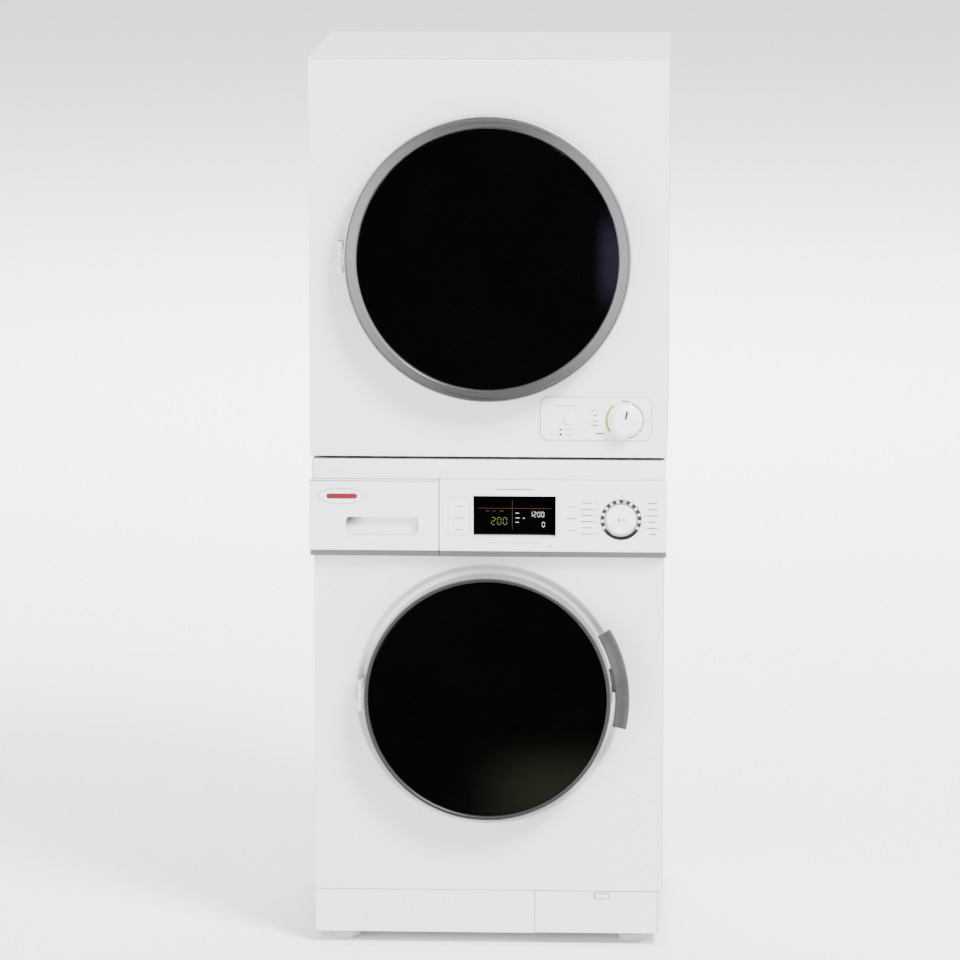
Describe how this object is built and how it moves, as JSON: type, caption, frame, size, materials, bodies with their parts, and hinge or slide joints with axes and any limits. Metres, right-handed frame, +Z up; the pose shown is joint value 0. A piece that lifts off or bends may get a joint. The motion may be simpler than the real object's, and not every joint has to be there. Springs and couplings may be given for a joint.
{
  "type": "washer dryer stack",
  "caption": "Front-loading washer with round dark door, drawer and console, and a vented tumble dryer with round glass door stacked on its worktop.",
  "frame": {"origin": "on the floor under the middle of the stack's box", "axes": "+X to the right seen from the front, +Y to the back, +Z up"},
  "size_m": [0.597, 0.608, 1.507],
  "materials": {
    "enamel": "gloss",
    "white_plastic": "satin",
    "worktop_laminate": "satin laminate",
    "brushed_silver": "brushed",
    "trim_silver": "metallised",
    "dark_ring": "satin metallic",
    "grip_grey": "satin",
    "dark_glass": "gloss",
    "clear_glass": "clear",
    "zinc": "zinc plated",
    "stainless": "polished",
    "cast_grey": "cast",
    "tub_plastic": "moulded",
    "grey_rubber": "matt",
    "black_rubber": "matt",
    "dark_plastic": "moulded",
    "pale_plastic": "moulded",
    "valve_blue": "moulded",
    "aluminium": "cast",
    "bearing_steel": "ground"
  },
  "bodies": {
    "base": {"washer_sides": "enamel", "washer_back_panel": "zinc", "washer_front_panel": "enamel", "washer_worktop": "worktop_laminate", "washer_base": "dark_plastic", "feet": "black_rubber", "kick_plate": "white_plastic", "console": "white_plastic", "console_trim": "trim_silver", "display_window": "dark_glass", "control_modules": "dark_plastic", "drawer_housing": "pale_plastic", "tub_front": "tub_plastic", "tub_rear": "tub_plastic", "door_gaskets": "grey_rubber", "tub_ballast": "cast_grey", "tub_suspension": "zinc", "drum_bearings": "bearing_steel", "washer_motor": "cast_grey", "drive_belts": "black_rubber", "heaters": "zinc", "drain_pump": "pale_plastic", "inlet_valve": "valve_blue", "door_hinges": "zinc", "door_locks": "pale_plastic", "screws": "zinc", "cord_glands": "black_rubber", "dryer_sides": "enamel", "dryer_back_panel": "zinc", "dryer_front_panel": "enamel", "dryer_top": "enamel", "dryer_base": "zinc", "control_panel": "white_plastic", "dryer_bulkheads": "zinc", "exhaust_duct": "pale_plastic", "dryer_motor": "cast_grey", "stack_brackets": "zinc"},
    "washer_door": {"washer_door_ring": "dark_ring", "washer_door_window": "dark_glass", "washer_door_bowl": "clear_glass", "washer_door_hook": "zinc"},
    "grip": {"washer_door_handle": "grip_grey"},
    "drawer": {"drawer_front": "white_plastic", "drawer_trim": "trim_silver", "drawer_tray": "pale_plastic"},
    "programme_ring": {"programme_knob": "trim_silver"},
    "start_key": {"start_button": "white_plastic"},
    "wash_drum": {"washer_drum": "stainless", "drum_spider": "aluminium"},
    "wash_pulley": {"motor_pulley": "aluminium"},
    "flap": {"filter_flap": "white_plastic"},
    "cap": {"filter_cap": "dark_plastic"},
    "dryer_door": {"dryer_door_ring": "brushed_silver", "dryer_door_glass": "dark_glass", "dryer_door_liner": "white_plastic"},
    "timer": {"timer_knob": "white_plastic"},
    "mode_key": {"mode_button": "white_plastic"},
    "dry_drum": {"dryer_drum": "stainless"},
    "blower": {"blower_wheel": "pale_plastic"},
    "filter": {"lint_filter": "pale_plastic"}
  },
  "joints": [
    {"name": "washer_door_swing", "type": "hinge", "parent": "base", "child": "washer_door", "pos_m": [-0.214, -0.266, 0.434], "axis": [0, 0, -1], "range_deg": [0, 125]},
    {"name": "grip_pull", "type": "hinge", "parent": "washer_door", "child": "grip", "pos_m": [0.21122, -0.287, 0.4684], "axis": [0.1607, 0, -0.987], "range_deg": [0, 12], "stiffness_Nm_per_rad": 2},
    {"name": "drawer_slide", "type": "slide", "parent": "base", "child": "drawer", "axis": [0, -1, 0], "range_m": [0, 0.19]},
    {"name": "programme_turn", "type": "hinge", "parent": "base", "child": "programme_ring", "pos_m": [0.2225, -0.264, 0.738], "axis": [0, 1, 0], "continuous": true},
    {"name": "start_press", "type": "slide", "parent": "base", "child": "start_key", "axis": [0, 1, 0], "range_m": [0, 0.003], "stiffness_N_per_m": 800},
    {"name": "washer_drum_spin", "type": "hinge", "parent": "base", "child": "wash_drum", "pos_m": [0, 0.054, 0.434], "axis": [0, 1, 0], "continuous": true},
    {"name": "washer_motor_spin", "type": "hinge", "parent": "base", "child": "wash_pulley", "pos_m": [0.16, 0.194, 0.134], "axis": [0, 1, 0], "continuous": true},
    {"name": "flap_tilt", "type": "hinge", "parent": "base", "child": "flap", "pos_m": [0.18, -0.238, 0.026], "axis": [1, 0, 0], "range_deg": [0, 85]},
    {"name": "filter_cap_turn", "type": "hinge", "parent": "base", "child": "cap", "pos_m": [0.15, -0.226, 0.0663], "axis": [0, 1, 0], "range_deg": [0, 90]},
    {"name": "dryer_door_swing", "type": "hinge", "parent": "base", "child": "dryer_door", "pos_m": [-0.2445, -0.264, 1.175], "axis": [0, 0, -1], "range_deg": [0, 130]},
    {"name": "timer_turn", "type": "hinge", "parent": "base", "child": "timer", "pos_m": [0.2285, -0.258, 0.902], "axis": [0, 1, 0], "range_deg": [0, 330]},
    {"name": "mode_press", "type": "slide", "parent": "base", "child": "mode_key", "axis": [0, 1, 0], "range_m": [0, 0.003], "stiffness_N_per_m": 300},
    {"name": "dryer_drum_spin", "type": "hinge", "parent": "base", "child": "dry_drum", "pos_m": [0, 0.054, 1.175], "axis": [0, 1, 0], "continuous": true},
    {"name": "blower_spin", "type": "hinge", "parent": "base", "child": "blower", "pos_m": [-0.2, 0.054, 0.925], "axis": [0, 1, 0], "continuous": true},
    {"name": "lint_filter_slide", "type": "slide", "parent": "base", "child": "filter", "axis": [0, 0, 1], "range_m": [0, 0.09]}
  ],
  "couplings": [
    {"joint": "washer_motor_spin", "follows": "washer_drum_spin", "ratio": 11.818},
    {"joint": "blower_spin", "follows": "dryer_drum_spin", "ratio": 21.25}
  ]
}
